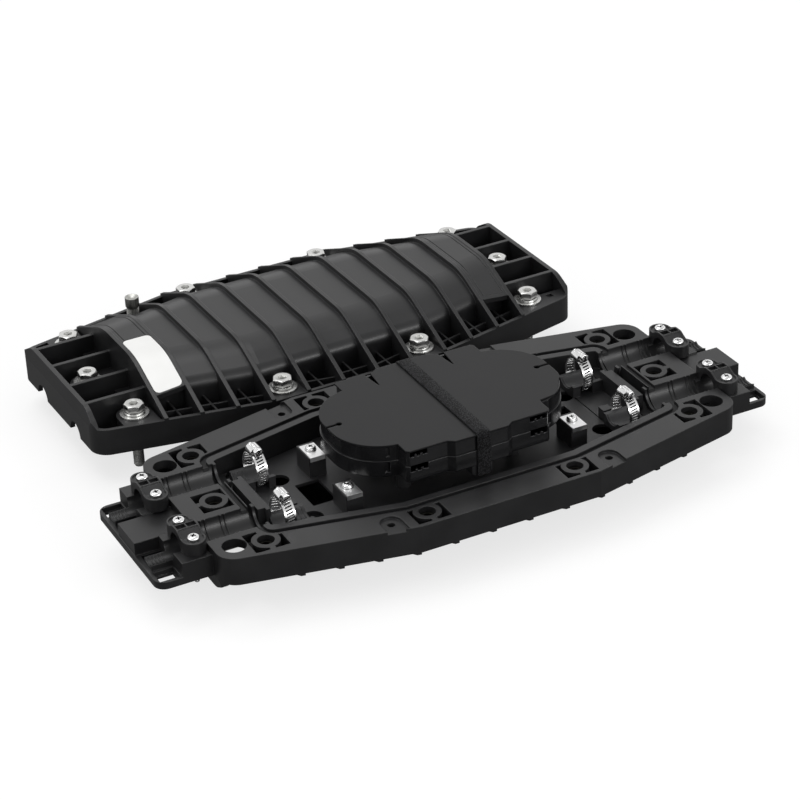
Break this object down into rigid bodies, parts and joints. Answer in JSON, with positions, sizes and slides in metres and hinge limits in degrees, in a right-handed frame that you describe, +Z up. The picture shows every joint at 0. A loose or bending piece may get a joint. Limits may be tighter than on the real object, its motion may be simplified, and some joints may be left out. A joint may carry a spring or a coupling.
{
  "type": "inline cable splice closure",
  "caption": "Opened inline cable splice closure: ribbed black base half with clamp tongues, hose clamps and stacked splice trays, and its ribbed bolted cover half beside it.",
  "frame": {"origin": "centre of the base half's four corner holes, on its mating face", "axes": "+X along the closure, +Y from the base towards the cover, +Z up out of the open base"},
  "size_m": [0.4696, 0.4043, 0.076],
  "materials": {
    "shell_plastic": "fine satin, moulded black",
    "inner_plastic": "satin black",
    "tray_plastic": "smooth black",
    "lid_plastic": "smooth flat black",
    "strap_fabric": "black hook and loop pile",
    "label_film": "white film, plain",
    "insert_brass": "dull, in shadow",
    "seal_rubber": "matt black",
    "bright_steel": "bright plated",
    "clamp_steel": "bright stainless strip",
    "stainless_steel": "satin stainless",
    "plated_steel": "plated, threaded"
  },
  "bodies": {
    "root": {"base_shell": "shell_plastic", "carrier_plate": "inner_plastic", "cover_bolts": "stainless_steel", "cover_label": "label_film", "cover_shell": "shell_plastic", "hose_clamp_band_1": "clamp_steel", "hose_clamp_band_2": "clamp_steel", "hose_clamp_band_3": "clamp_steel", "hose_clamp_band_4": "clamp_steel", "hose_clamp_housing_1": "clamp_steel", "hose_clamp_housing_2": "clamp_steel", "hose_clamp_housing_3": "clamp_steel", "hose_clamp_housing_4": "clamp_steel", "hose_clamp_screws": "bright_steel", "lock_washers": "stainless_steel", "lower_splice_holder": "inner_plastic", "lower_tray": "tray_plastic", "member_clamp_plate_1": "bright_steel", "member_clamp_plate_2": "bright_steel", "member_clamp_plate_3": "bright_steel", "member_clamp_plate_4": "bright_steel", "member_clamp_screws": "bright_steel", "perimeter_seal": "seal_rubber", "plain_washers": "stainless_steel", "saddle_cap_1": "shell_plastic", "saddle_cap_2": "shell_plastic", "saddle_cap_3": "shell_plastic", "saddle_cap_4": "shell_plastic", "saddle_screws": "bright_steel", "threaded_inserts": "insert_brass", "tray_lid": "lid_plastic", "tray_strap": "strap_fabric", "tray_support": "inner_plastic", "upper_splice_holder": "inner_plastic", "upper_tray": "tray_plastic", "valve_body": "plated_steel", "valve_cap": "bright_steel", "valve_nut": "plated_steel"}
  },
  "joints": []
}
